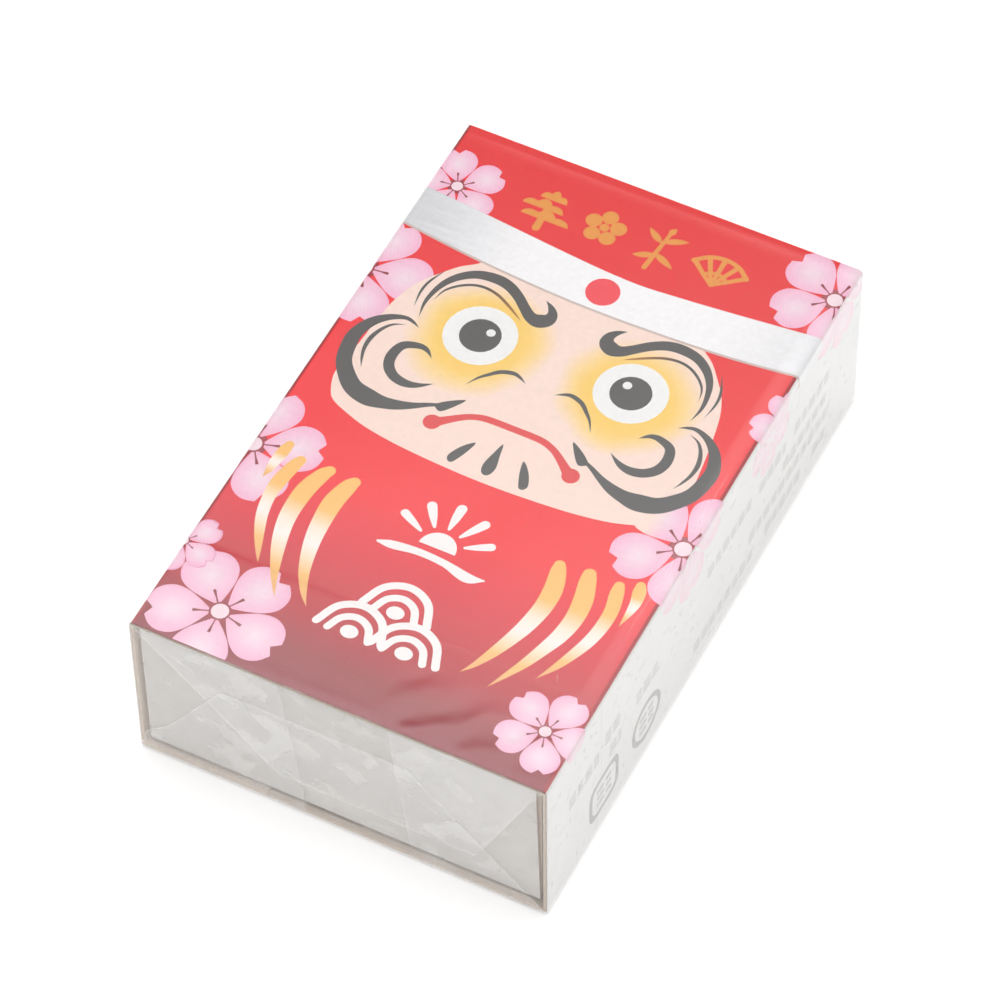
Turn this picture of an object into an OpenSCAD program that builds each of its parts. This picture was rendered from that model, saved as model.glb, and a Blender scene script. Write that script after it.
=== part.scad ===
// A slide box of caramels: a printed board sleeve, an open board tray that slides in it,
// wrapped caramels standing in the tray, and clear overwrap film folded round the whole box.
// Millimetres. +X is the box's right side, +Y its far end and +Z its printed top.
// The origin is the middle of the underside of the film.

/* [Box] */
// Width of the wrapped box
box_w = 46; // [42:0.5:52]
// Length of the wrapped box
box_l = 73.4; // [66:0.2:84]
// Height of the wrapped box
box_h = 21; // [18:0.5:25]

/* [Film] */
// Thickness of the overwrap film
film_t = 0.06; // [0.04:0.01:0.1]
// Gap between the film and the board that it is drawn round
film_gap = 0.08; // [0.05:0.01:0.15]
// Depth of the folds that close each end
fold_l = 16; // [12:0.5:17]
// Distance of the tear line from the near end
tear_l = 12; // [8:0.5:30]

/* [Sleeve] */
// Thickness of the sleeve's board
sleeve_t = 0.4; // [0.3:0.05:0.5]
// Outside radius of the sleeve's creased edges
sleeve_crease_r = 0.5; // [0.5:0.05:0.8]
// Width of the flap glued inside the bottom panel
glue_flap_w = 14; // [8:1:18]

/* [Tray] */
// Thickness of the tray's board
tray_t = 0.4; // [0.3:0.05:0.5]
// Outside radius of the tray's creased edges
tray_crease_r = 0.7; // [0.5:0.05:0.8]
// Gap between the tray and each side of the sleeve
side_gap = 0.5; // [0.3:0.05:0.8]
// Gap between the tray's rim and the top of the sleeve
top_gap = 0.5; // [0.3:0.05:1]
// Setback of the tray's end walls from the sleeve's cut edges
end_setback = 0.35; // [0.1:0.05:0.8]

/* [Caramels] */
// Rows of caramels along the box
rows = 6; // [4:1:6]
// Caramels side by side in a row
columns = 2; // [1:1:2]
// Gap between neighbouring wrappers, and between wrappers and tray walls
sweet_gap = 0.2; // [0.1:0.05:0.4]
// Headroom between the wrapped caramels and the tray's rim
headroom = 1; // [0.5:0.1:2]
// Thickness of one layer of wrapper
wrap_t = 0.1; // [0.08:0.01:0.15]
// Thickness of the folded layers at each end of a wrapper
wrap_end_t = 0.3; // [0.2:0.05:0.5]
// Radius of a caramel's moulded edges
caramel_r = 0.8; // [0.4:0.1:1.2]

/* [Hidden] */
$fn = 48;
running_gap = 0.1;
tear_gap = 0.02;
past = 1;
flap_layers = 3;

sleeve_w = box_w - 2 * (film_t + film_gap);
sleeve_h = box_h - 2 * (film_t + film_gap);
sleeve_l = box_l - 2 * (flap_layers * film_t + film_gap);
sleeve_z = film_t + film_gap;

tray_w = sleeve_w - 2 * (sleeve_t + side_gap);
tray_l = sleeve_l - 2 * end_setback;
tray_z = sleeve_z + 2 * sleeve_t + running_gap;
tray_h = sleeve_z + sleeve_h - sleeve_t - top_gap - tray_z;
end_wall_t = 2 * tray_t;

wrapper_w = (tray_w - 2 * tray_t - (columns + 1) * sweet_gap) / columns;
wrapper_l = (tray_l - 2 * end_wall_t - (rows + 1) * sweet_gap) / rows;
wrapper_h = tray_h - tray_t - headroom;
wrapper_z = tray_z + tray_t;
// Air left round a caramel inside its wrapper, on every side but the one that it rests on
wrap_slack = 0.05;

sweets = rows * columns;
caramel_names = [for (i = [1:sweets]) str("caramel_", i)];
wrapper_names = [for (i = [1:sweets]) str("wrapper_", i)];

// A rectangle with round corners, from circles and squares so that its corners are true arcs
module round_rect(w, h, r) {
    translate([0, -h / 2 + r]) square([w, h - 2 * r]);
    translate([r, -h / 2]) square([w - 2 * r, h]);
    for (x = [r, w - r], y = [r - h / 2, h / 2 - r]) translate([x, y]) circle(r);
}

// A block centred in X and Y that stands on z = 0, with every crosswise and lengthwise edge round
module creased_block(w, l, h, r) {
    intersection() {
        translate([0, l / 2, 0]) rotate([90, 0, 0]) linear_extrude(l)
            translate([-w / 2, h / 2]) round_rect(w, h, r);
        translate([-w / 2, 0, 0]) rotate([90, 0, 90]) linear_extrude(w)
            translate([-l / 2, h / 2]) round_rect(l, h, r);
    }
}

// A box centred in X and Y that stands on z = 0
module upright_box(w, l, h) {
    translate([-w / 2, -l / 2, 0]) cube([w, l, h]);
}

// The printed sleeve: four panels round the tray, and the flap that glues them into a tube
module sleeve() {
    inner_w = sleeve_w - 2 * sleeve_t;
    color([0.87, 0.2, 0.25]) translate([0, 0, sleeve_z]) {
        difference() {
            translate([0, sleeve_l / 2, 0]) rotate([90, 0, 0]) linear_extrude(sleeve_l)
                translate([-sleeve_w / 2, sleeve_h / 2]) round_rect(sleeve_w, sleeve_h, sleeve_crease_r);
            translate([0, 0, sleeve_t])
                upright_box(inner_w, sleeve_l + 2 * past, sleeve_h - 2 * sleeve_t);
        }
        translate([-inner_w / 2, -sleeve_l / 2, sleeve_t]) cube([glue_flap_w, sleeve_l, sleeve_t]);
    }
}

// The tray: a board box open at the top, whose end walls are folded over to two layers
module tray() {
    color([0.86, 0.85, 0.83]) translate([0, 0, tray_z]) difference() {
        creased_block(tray_w, tray_l, tray_h, tray_crease_r);
        translate([0, 0, tray_t])
            upright_box(tray_w - 2 * tray_t, tray_l - 2 * end_wall_t, tray_h + past);
    }
}

// The place of caramel number i: rows run along the box, starting at the near end on the left
module in_tray(i) {
    column = (i - 1) % columns;
    row = floor((i - 1) / columns);
    x = (column - (columns - 1) / 2) * (wrapper_w + sweet_gap);
    y = (row - (rows - 1) / 2) * (wrapper_l + sweet_gap);
    translate([x, y, wrapper_z]) children();
}

// A caramel, standing on the inside of its wrapper
module caramel_block(slack) {
    w = wrapper_w - 2 * wrap_end_t - 2 * slack;
    l = wrapper_l - 2 * wrap_t - 2 * slack;
    h = wrapper_h - 2 * wrap_t - slack;
    translate([0, 0, wrap_t]) creased_block(w, l, h, caramel_r - slack);
}

module caramel(i) {
    color([0.72, 0.45, 0.22]) in_tray(i) caramel_block(wrap_slack);
}

// A wrapper: one layer round a caramel, and thicker folded ends
module wrapper(i) {
    color([0.95, 0.93, 0.89]) in_tray(i) difference() {
        creased_block(wrapper_w, wrapper_l, wrapper_h, caramel_r + wrap_t);
        caramel_block(0);
    }
}

// The outline of a flap folded over an end: full width at its crease, with its corners folded in
// at 45 degrees. It starts on y = 0 and points up.
module flap_outline() {
    polygon([[-box_w / 2, 0], [box_w / 2, 0], [box_w / 2 - fold_l, fold_l], [fold_l - box_w / 2, fold_l]]);
}

// One layer of film across the near end, counted from the outside, drawn from an outline in X and Z
module end_layer(number) {
    translate([0, -box_l / 2 + (number + 1) * film_t, 0]) rotate([90, 0, 0]) linear_extrude(film_t)
        children();
}

// The envelope fold over the near end: side tucks, then the top flap, then the bottom flap outside
module folded_end() {
    end_layer(2) {
        translate([-box_w / 2, 0]) square([fold_l, box_h]);
        translate([box_w / 2 - fold_l, 0]) square([fold_l, box_h]);
    }
    end_layer(1) translate([0, box_h]) mirror([0, 1]) flap_outline();
    end_layer(1) translate([-box_w / 2, 0]) square([box_w, film_t]);
    end_layer(0) flap_outline();
}

// A length of film tube round the box between two places along it
module film_tube(from, to) {
    translate([0, (from + to) / 2, 0]) difference() {
        upright_box(box_w, to - from, box_h);
        translate([0, 0, film_t])
            upright_box(box_w - 2 * film_t, to - from + 2 * past, box_h - 2 * film_t);
    }
}

// The film from the tear line to the far end
module film_wrap() {
    color([0.9, 0.93, 0.95, 0.3]) {
        film_tube(-box_l / 2 + tear_l + tear_gap / 2, box_l / 2 - 2 * film_t);
        mirror([0, 1, 0]) folded_end();
    }
}

// The film from the near end to the tear line, which comes off first
module film_cap() {
    color([0.93, 0.95, 0.97, 0.3]) {
        film_tube(-box_l / 2 + 2 * film_t, -box_l / 2 + tear_l - tear_gap / 2);
        folded_end();
    }
}

sleeve();
tray();
film_wrap();
film_cap();
for (i = [1:sweets]) caramel(i);
for (i = [1:sweets]) wrapper(i);
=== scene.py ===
"""A film-wrapped slide box of caramels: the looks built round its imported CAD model."""
import math

import bmesh
import bpy
import numpy as np
from mathutils import Matrix, Vector
from mathutils import noise as perlin
from mathutils.geometry import delaunay_2d_cdt


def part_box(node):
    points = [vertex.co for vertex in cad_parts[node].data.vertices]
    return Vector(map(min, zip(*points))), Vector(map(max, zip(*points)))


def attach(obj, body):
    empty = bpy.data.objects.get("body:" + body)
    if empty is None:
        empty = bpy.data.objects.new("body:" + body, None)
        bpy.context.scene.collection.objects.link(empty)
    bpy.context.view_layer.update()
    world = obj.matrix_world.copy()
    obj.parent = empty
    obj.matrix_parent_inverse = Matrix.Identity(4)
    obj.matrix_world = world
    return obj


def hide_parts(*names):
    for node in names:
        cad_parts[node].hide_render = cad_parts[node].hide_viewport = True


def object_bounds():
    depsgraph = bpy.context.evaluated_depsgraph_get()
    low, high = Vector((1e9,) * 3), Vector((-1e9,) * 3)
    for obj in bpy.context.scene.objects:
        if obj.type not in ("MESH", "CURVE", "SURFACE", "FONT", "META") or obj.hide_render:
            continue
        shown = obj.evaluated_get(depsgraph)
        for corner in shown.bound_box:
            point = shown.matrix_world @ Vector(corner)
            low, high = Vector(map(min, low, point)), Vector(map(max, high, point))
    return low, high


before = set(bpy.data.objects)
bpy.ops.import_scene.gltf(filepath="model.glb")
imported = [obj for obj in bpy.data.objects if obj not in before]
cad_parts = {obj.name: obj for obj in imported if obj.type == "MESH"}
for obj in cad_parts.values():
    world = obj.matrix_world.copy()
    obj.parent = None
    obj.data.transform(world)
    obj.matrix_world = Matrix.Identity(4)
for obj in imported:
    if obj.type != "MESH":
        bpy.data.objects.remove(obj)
cad_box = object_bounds()
MM = 0.001

# ---------- sizes in millimetres, taken from the frame ----------
def box_mm(node):
    """The lowest and highest corner of a CAD node, in millimetres."""
    low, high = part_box(node)
    return [c / MM for c in low], [c / MM for c in high]


sleeve_low, sleeve_high = box_mm("sleeve")
tray_low, tray_high = box_mm("tray")
film_low, film_high = [c / MM for c in cad_box[0]], [c / MM for c in cad_box[1]]
tear_y = (box_mm("film_cap")[1][1] + box_mm("film_wrap")[0][1]) / 2
BOARD = 0.4
SLEEVE_CREASE = 0.5
TRAY_CREASE = 0.7
FLAP_WIDTH = 14.0
FILM = 0.03
FILM_CREASE = 0.3
FILM_LAYER = 0.07
ARC_STEPS = 6


# ---------- a board or film tube laid flat ----------
class Tube:
    """A rectangular tube with round edges, laid flat: u runs round it from the middle of its top, to the
    right above 0 and to the left below, and v is the place along Y. left_lift raises the left side's
    lower crease, so that what follows it lies on the panel that comes round from the right."""

    def __init__(self, low, high, radius, left_lift=0.0):
        self.top, self.bottom, self.radius = high[2], low[2], radius
        self.half = high[0] - radius
        self.arc = math.pi / 2 * radius
        self.left_lift = left_lift

    def side(self, sign):
        """The flat height of the right (1) or left (-1) panel."""
        lift = self.left_lift if sign < 0 else 0.0
        return self.top - self.bottom - lift - 2 * self.radius

    def stations(self, sign):
        """The u at which the flat and round stretches of one side of the tube begin and end."""
        a = self.half
        b = a + self.arc
        c = b + self.side(sign)
        return a, b, c, c + self.arc

    def on_side(self, sign, y, z):
        """The flat place of a point on the right (1) or left (-1) panel."""
        return sign * (self.half + self.arc + self.top - self.radius - z), y

    def creases(self, u_low, u_high):
        """Every u where the sheet starts, ends or turns through a step of a bend."""
        found = []
        for sign in (1, -1):
            a, _, c, _ = self.stations(sign)
            for start in (a, c):
                found += [sign * (start + self.arc * k / ARC_STEPS) for k in range(ARC_STEPS + 1)]
        return sorted(u for u in found if u_low < u < u_high)

    def at(self, u, depth):
        """The point (x, z) at u, depth inside the outer face, and the outward direction there."""
        sign = 1 if u >= 0 else -1
        a, b, c, d = self.stations(sign)
        s, r = abs(u), self.radius
        low = self.bottom + (self.left_lift if sign < 0 else 0.0)
        if s <= a:
            x, z, nx, nz = s, self.top - depth, 0.0, 1.0
        elif s <= b:
            nx, nz = math.sin((s - a) / r), math.cos((s - a) / r)
            x, z = self.half + (r - depth) * nx, self.top - r + (r - depth) * nz
        elif s <= c:
            x, z, nx, nz = self.half + r - depth, self.top - r - (s - b), 1.0, 0.0
        elif s <= d:
            nx, nz = math.cos((s - c) / r), -math.sin((s - c) / r)
            x, z = self.half + (r - depth) * nx, low + r + (r - depth) * nz
        else:
            x, z, nx, nz = self.half - (s - d), low + depth, 0.0, -1.0
        return sign * x, z, sign * nx, nz


# ---------- flat sheets with printed or folded areas ----------
def inside(loops, x, y):
    """Which of the points lie inside the loops, by winding number."""
    turns = np.zeros(len(x), int)
    for loop in loops:
        xy = np.array([p[:2] for p in loop])
        for (ax, ay), (bx, by) in zip(xy, np.roll(xy, -1, axis=0)):
            if ay == by:
                continue
            cross = (bx - ax) * (y - ay) - (x - ax) * (by - ay)
            turns += (ay <= y) & (y < by) & (cross > 0)
            turns -= (by <= y) & (y < ay) & (cross < 0)
    return turns != 0


class Sheet:
    """A flat sheet cut along an outline, divided into triangles that keep to every area's edge. Each
    triangle takes the top area over it. An area is (material, loops, local), where local gives the two
    numbers that the material's shading needs at a point, or is None."""

    def __init__(self, outline, base, areas=(), creases=(), fill=None):
        loops = [loop for _, area_loops, _ in areas for loop in area_loops]
        points, edges = [], []
        for loop in [outline, *loops]:
            first = len(points)
            points += [Vector(p[:2]) for p in loop]
            edges += [(first + k, first + (k + 1) % len(loop)) for k in range(len(loop))]
        for a, b in creases:
            edges.append((len(points), len(points) + 1))
            points += [Vector(a), Vector(b)]
        if fill:
            points += [Vector(p) for p in self.grid(outline, fill)]
        cut = delaunay_2d_cdt(points, edges, [], 0, 1e-5)
        self.flat = np.array([tuple(p) for p in cut[0]])
        triangles = np.array([list(f) for f in cut[2]])
        middle = self.flat[triangles].mean(1)
        keep = inside([outline], middle[:, 0], middle[:, 1])
        self.triangles, middle = triangles[keep], middle[keep]
        self.kinds = [base] + sorted({kind for kind, _, _ in areas} - {base})
        self.kind_of = np.zeros(len(self.triangles), int)
        self.area_of = np.full(len(self.triangles), -1)
        for i, (kind, area_loops, _) in enumerate(areas):
            xy = np.array([p[:2] for loop in area_loops for p in loop])
            near = np.where(((middle >= xy.min(0)) & (middle <= xy.max(0))).all(1))[0]
            hit = near[inside(area_loops, middle[near, 0], middle[near, 1])]
            self.kind_of[hit] = self.kinds.index(kind)
            self.area_of[hit] = i
        self.areas = areas
        self.face_outward()

    @staticmethod
    def grid(outline, spacing):
        """Points spread evenly inside the outline, so that no triangle is a long sliver."""
        xy = np.array([p[:2] for p in outline])
        low, high = xy.min(0), xy.max(0)
        nx, ny = (max(1, int(n)) for n in (high - low) / spacing)
        xs, ys = np.meshgrid(
            low[0] + (np.arange(nx) + 0.5) * (high[0] - low[0]) / nx,
            low[1] + (np.arange(ny) + 0.5) * (high[1] - low[1]) / ny,
        )
        xs, ys = xs.ravel(), ys.ravel()
        keep = inside([outline], xs, ys)
        return list(zip(xs[keep], ys[keep]))

    def face_outward(self):
        """Turns every triangle anticlockwise and drops the points that none of them uses."""
        a, b, c = (self.flat[self.triangles[:, k]] for k in range(3))
        clockwise = (b[:, 0] - a[:, 0]) * (c[:, 1] - a[:, 1]) < (b[:, 1] - a[:, 1]) * (c[:, 0] - a[:, 0])
        self.triangles[clockwise] = self.triangles[clockwise][:, ::-1]
        used, flat_index = np.unique(self.triangles, return_inverse=True)
        self.triangles = flat_index.reshape(-1, 3)
        self.flat = self.flat[used]

    def boundary(self):
        """The sheet's edge as directed pairs of points, with the sheet on the left."""
        pairs = {}
        for tri in self.triangles:
            for k in range(3):
                pairs[(int(tri[k]), int(tri[(k + 1) % 3]))] = True
        return [pair for pair in pairs if pair[::-1] not in pairs]

    def local(self, triangle, point):
        """The two numbers that a triangle's material needs at one of its corners."""
        area = self.area_of[triangle]
        to_local = self.areas[area][2] if area >= 0 else None
        return (*to_local(self.flat[point]), 0.0) if to_local else (0.0, 0.0, 0.0)


def folded(name, sheet, place, thickness, edge_kind, back_kind):
    """A solid piece made by folding a sheet: place(u, v, depth) gives a point and the way out there."""
    kinds = list(dict.fromkeys([*sheet.kinds, edge_kind, back_kind]))
    count = len(sheet.flat)
    points, outs = [], []
    for depth in (0.0, thickness):
        for u, v in sheet.flat:
            point, out = place(u, v, depth)
            points.append(point)
            outs.append(out if depth == 0.0 else -out)
    faces, kind_of, normals, local = [], [], [], []
    for i, tri in enumerate(sheet.triangles):
        for layer, order in ((0, 1), (count, -1)):
            corners = [int(c) for c in tri[::order]]
            faces.append([c + layer for c in corners])
            kind_of.append(kinds.index(sheet.kinds[sheet.kind_of[i]] if layer == 0 else back_kind))
            normals += [outs[c + layer] for c in corners]
            local += [sheet.local(i, c) if layer == 0 else (0.0, 0.0, 0.0) for c in corners]
    for a, b in sheet.boundary():
        face = [b, a, a + count, b + count]
        p, q, r = (points[k] for k in face[:3])
        faces.append(face)
        kind_of.append(kinds.index(edge_kind))
        normals += [(q - p).cross(r - q).normalized()] * 4
        local += [(0.0, 0.0, 0.0)] * 4
    return make_mesh(name, points, faces, kinds, kind_of, normals, local)


def make_mesh(name, points, faces, kinds, kind_of, normals=None, local=None):
    """An object from points in millimetres, its faces and the material of each."""
    mesh = bpy.data.meshes.new(name)
    mesh.from_pydata([p * MM for p in points], [], faces)
    for kind in kinds:
        mesh.materials.append(material_named(kind))
    mesh.polygons.foreach_set("material_index", kind_of)
    mesh.polygons.foreach_set("use_smooth", [normals is not None] * len(faces))
    if local:
        attribute = mesh.attributes.new("art", "FLOAT_VECTOR", "CORNER")
        attribute.data.foreach_set("vector", np.array(local, np.float32).ravel())
    if normals:
        mesh.normals_split_custom_set([tuple(n) for n in normals])
    mesh.update()
    piece = bpy.data.objects.new(name, mesh)
    bpy.context.scene.collection.objects.link(piece)
    return piece


# ---------- material helpers ----------
def rgb(code):
    """A linear colour from a six-digit sRGB code."""
    parts = [int(code[k:k + 2], 16) / 255 for k in (0, 2, 4)]
    return (*[c / 12.92 if c <= 0.04045 else ((c + 0.055) / 1.055) ** 2.4 for c in parts], 1.0)


def add(tree, kind, settings=None, **inputs):
    """A new node with its settings and the values of its inputs, whose names have _ for a space."""
    node = tree.nodes.new("ShaderNode" + kind)
    for key, value in (settings or {}).items():
        setattr(node, key, value)
    for key, value in inputs.items():
        name = key.replace("_", " ")
        socket = node.inputs[int(key[1:])] if key[0] == "i" and key[1:].isdigit() else node.inputs[name]
        if isinstance(value, bpy.types.NodeSocket):
            tree.links.new(value, socket)
        else:
            socket.default_value = value
    return node


def calc(tree, operation, **inputs):
    """The result of a Math node that does the operation."""
    return add(tree, "Math", {"operation": operation}, **inputs).outputs[0]


def principled(name, **inputs):
    """A new material, its tree and its Principled node with the given input values."""
    material = bpy.data.materials.new(name)
    material.use_nodes = True
    shader = material.node_tree.nodes["Principled BSDF"]
    for key, value in inputs.items():
        shader.inputs[key.replace("_", " ")].default_value = value
    return material, material.node_tree, shader


def here(tree):
    """The place on the object, in metres."""
    return add(tree, "TexCoord").outputs["Object"]


def noise(tree, size, detail=3.0, stretch=(1, 1, 1), roughness=0.5, vector=None):
    """Noise whose features are about size millimetres, longer along an axis where stretch is below 1."""
    scaled = add(tree, "VectorMath", {"operation": "MULTIPLY"}, i0=vector or here(tree), i1=stretch)
    made = add(tree, "TexNoise", Vector=scaled.outputs[0], Scale=1 / (size * MM), Detail=detail,
        Roughness=roughness)
    return made.outputs["Factor"] if "Factor" in made.outputs else made.outputs["Fac"]


def between(tree, value, low, high, to_low=0.0, to_high=1.0, smooth=False):
    """A value brought from one range to another, and held at its ends."""
    settings = {"interpolation_type": "SMOOTHSTEP" if smooth else "LINEAR"}
    made = add(tree, "MapRange", settings, Value=value, From_Min=low, From_Max=high, To_Min=to_low,
        To_Max=to_high)
    return made.outputs["Result"]


def ramp(tree, value, stops):
    """A colour ramp through (place, colour) stops."""
    node = add(tree, "ValToRGB", Fac=value)
    elements = node.color_ramp.elements
    while len(elements) < len(stops):
        elements.new(0.5)
    for element, (at, colour) in zip(elements, stops):
        element.position = at
        element.color = colour
    return node.outputs["Color"]


def mixed(tree, factor, a, b, kind="MIX"):
    """Two colours mixed by a factor, each a colour or a socket."""
    node = add(tree, "Mix", {"data_type": "RGBA", "blend_type": kind}, i0=factor)
    for socket, value in ((node.inputs[6], a), (node.inputs[7], b)):
        if isinstance(value, bpy.types.NodeSocket):
            tree.links.new(value, socket)
        else:
            socket.default_value = value
    return node.outputs[2]


def bumped(tree, shader, heights, socket="Normal"):
    """Bump from (height socket, distance in millimetres) pairs, the coarse ones first."""
    normal = None
    for height, distance in heights:
        node = add(tree, "Bump", Height=height, Distance=distance * MM, Strength=1.0)
        if normal:
            tree.links.new(normal, node.inputs["Normal"])
        normal = node.outputs["Normal"]
    tree.links.new(normal, shader.inputs[socket])
    return normal


# ---------- printed board ----------
def print_finish(tree, shader, colour, mottled=0.035):
    """Coated board under ink: slight mottling of the colour, paper grain and a soft waviness."""
    mottle = between(tree, noise(tree, 0.5, 4.0), 0.3, 0.7, 1 - mottled, 1 + mottled)
    shade = add(tree, "VectorMath", {"operation": "SCALE"}, Scale=mottle)
    if isinstance(colour, bpy.types.NodeSocket):
        tree.links.new(colour, shade.inputs[0])
    else:
        shade.inputs[0].default_value = colour[:3]
    tree.links.new(shade.outputs[0], shader.inputs["Base Color"])
    shader.inputs["Specular IOR Level"].default_value = 0.2
    gloss = between(tree, noise(tree, 0.9, 3.0), 0.3, 0.7, 0.26, 0.36)
    tree.links.new(gloss, shader.inputs["Roughness"])
    bumped(tree, shader, [(noise(tree, 9, 1.0), 0.02), (noise(tree, 0.22, 3.0), 0.0002)])


def ink(colour, mottled=0.035):
    """A maker for an ink of one colour."""
    def make(name):
        material, tree, shader = principled(name)
        print_finish(tree, shader, rgb(colour), mottled)
        return material
    return make


def local_xy(tree):
    """The two numbers that an area gives its material."""
    node = add(tree, "Attribute", {"attribute_name": "art"})
    split = add(tree, "SeparateXYZ", Vector=node.outputs["Vector"])
    return split.outputs["X"], split.outputs["Y"], node.outputs["Vector"]


def along_box(tree, axis="Y"):
    """The place along an axis of the box, in millimetres."""
    split = add(tree, "SeparateXYZ", Vector=here(tree))
    return calc(tree, "DIVIDE", i0=split.outputs[axis], i1=MM)


def red_ground(name):
    """The robe's red, which darkens to maroon towards the near end."""
    material, tree, shader = principled(name)
    y = along_box(tree)
    place = between(tree, y, -36.5, 36.5)
    stops = [(0.0, "921F2E"), (0.06, "9B1E26"), (0.116, "BB1F2B"), (0.171, "CE2330"), (0.253, "E4192E"),
             (0.336, "F51A26"), (0.55, "F41A24"), (0.8, "EC191F"), (1.0, "E9191C")]
    print_finish(tree, shader, ramp(tree, place, [(at, rgb(code)) for at, code in stops]))
    return material


EYES = ((-8.5, 11.3), (8.6, 11.2))


def face_skin(name):
    """Peach, with a gold glow round each eye."""
    material, tree, shader = principled(name)
    spots = [
        add(tree, "VectorMath", {"operation": "DISTANCE"}, i0=here(tree),
            i1=(x * MM, (y - 0.5) * MM, sleeve_high[2] * MM)).outputs["Value"]
        for x, y in EYES
    ]
    nearest = calc(tree, "MINIMUM", i0=spots[0], i1=spots[1])
    wander = between(tree, noise(tree, 6, 1.0), 0.3, 0.7, -0.4 * MM, 0.4 * MM)
    reach = calc(tree, "ADD", i0=nearest, i1=wander)
    place = between(tree, reach, 4.0 * MM, 7.8 * MM)
    stops = [(0.0, "FBD068"), (0.25, "FBD273"), (0.5, "FBD892"), (0.8, "FADCBC"), (1.0, "FADFD2")]
    print_finish(tree, shader, ramp(tree, place, [(at, rgb(code)) for at, code in stops]))
    return material


def petal_colour(tree, stops):
    """The blossom pink along a petal, from its middle to its rim."""
    _, _, vector = local_xy(tree)
    far = add(tree, "VectorMath", {"operation": "LENGTH"}, i0=vector).outputs["Value"]
    return ramp(tree, far, [(at, rgb(code)) for at, code in stops])


PETAL_STOPS = [(0.0, "F1D5E1"), (0.35, "F3C4D8"), (0.75, "F4ABCC"), (1.0, "F299C2")]
# Paler pinks for flowers past the top's folds: painted light, the side drawn as washed out by bright light.
LIT_PALE_STOPS = [(0.0, "EFDAE1"), (0.5, "EFCCD7"), (1.0, "EDBACB")]


def halftone(tree, colour, paper, pitch=0.2):
    """The colour with a fine screen of paler dots, turned as a press turns its screens."""
    turned = add(tree, "VectorRotate", {"rotation_type": "Z_AXIS"}, Vector=here(tree),
        Angle=math.radians(15))
    split = add(tree, "SeparateXYZ", Vector=turned.outputs[0])
    waves = []
    for axis in "XY":
        phase = calc(tree, "MULTIPLY", i0=split.outputs[axis],
            i1=2 * math.pi / (pitch * MM))
        waves.append(calc(tree, "SINE", i0=phase))
    dots = calc(tree, "MULTIPLY", i0=waves[0], i1=waves[1])
    return mixed(tree, between(tree, dots, -0.3, 0.5, 0.0, 0.65), colour, rgb(paper))


def petal(stops):
    """A maker for a printed petal that runs through the given pinks."""
    def make(name):
        material, tree, shader = principled(name)
        print_finish(tree, shader, halftone(tree, petal_colour(tree, stops), "FBEFF4"))
        return material
    return make


def petal_over_face(name):
    """A petal that fades out towards the middle of the face."""
    material, tree, shader = principled(name)
    x = calc(tree, "ABSOLUTE", i0=along_box(tree, "X"))
    shown = between(tree, x, 17.0, 19.3, smooth=True)
    colour = halftone(tree, petal_colour(tree, PETAL_STOPS), "FBEFF4")
    print_finish(tree, shader, mixed(tree, shown, rgb("FADFD2"), colour))
    return material


def fading_gold(name):
    """Gold at both ends of a stroke and white in its middle."""
    material, tree, shader = principled(name)
    along, _, _ = local_xy(tree)
    stops = [(0.0, "FBC169"), (0.28, "FBC46C"), (0.43, "FCEBD8"), (0.55, "FDF3EC"), (0.66, "FCE3C4"),
             (0.78, "F9C475"), (1.0, "F0B274")]
    print_finish(tree, shader, ramp(tree, along, [(at, rgb(code)) for at, code in stops]))
    return material


def fading_ink(name):
    """Brush ink that turns to brown towards the inner end of its stroke."""
    material, tree, shader = principled(name)
    along, _, _ = local_xy(tree)
    colour = ramp(tree, along, [(0.0, rgb("514E4C")), (0.35, rgb("52463C")), (1.0, rgb("B8772F"))])
    print_finish(tree, shader, colour)
    return material


def headband_cloth(name):
    """White that greys towards its two ends, with faint folds along it."""
    material, tree, shader = principled(name)
    x = along_box(tree, "X")
    left = between(tree, x, -8.0, -23.0, smooth=True)
    right = between(tree, x, 12.0, 23.0, 0.0, 0.4, smooth=True)
    shade = calc(tree, "ADD", i0=left, i1=right)
    streaks = between(tree, noise(tree, 0.8, 2.0, stretch=(0.08, 1, 1)), 0.35, 0.65, -0.22, 0.22)
    folds = calc(tree, "MULTIPLY", i0=streaks, i1=shade)
    total = add(tree, "Math", {"operation": "ADD", "use_clamp": True}, i0=shade, i1=folds).outputs[0]
    print_finish(tree, shader, mixed(tree, total, rgb("F8F6F7"), rgb("D6D6D9")))
    return material


# ---------- plain board ----------
def bare_board(dark, pale):
    """A maker for uncoated board: cloudy between two colours, with long fibres, specks and a dull face."""
    def make(name):
        material, tree, shader = principled(name, Roughness=0.82, Specular_IOR_Level=0.25)
        cloudy = between(tree, noise(tree, 2.2, 4.0), 0.3, 0.7)
        colour = mixed(tree, cloudy, rgb(dark), rgb(pale))
        specks = between(tree, noise(tree, 0.12, 1.0), 0.72, 0.78)
        colour = mixed(tree, specks, colour, rgb("BDB3A8"))
        tree.links.new(colour, shader.inputs["Base Color"])
        fibres = noise(tree, 0.3, 4.0, stretch=(1, 0.25, 1))
        bumped(tree, shader, [(noise(tree, 7, 1.0), 0.03), (fibres, 0.006)])
        return material
    return make


def cut_board(name):
    """A board's cut edge: grey-brown pulp between its paler faces."""
    material, tree, shader = principled(name, Roughness=0.9, Specular_IOR_Level=0.2)
    pulp = noise(tree, 0.15, 4.0)
    colour = mixed(tree, between(tree, pulp, 0.35, 0.65), rgb("C6B4A4"), rgb("DACDC0"))
    tree.links.new(colour, shader.inputs["Base Color"])
    bumped(tree, shader, [(pulp, 0.02)])
    return material


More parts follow.
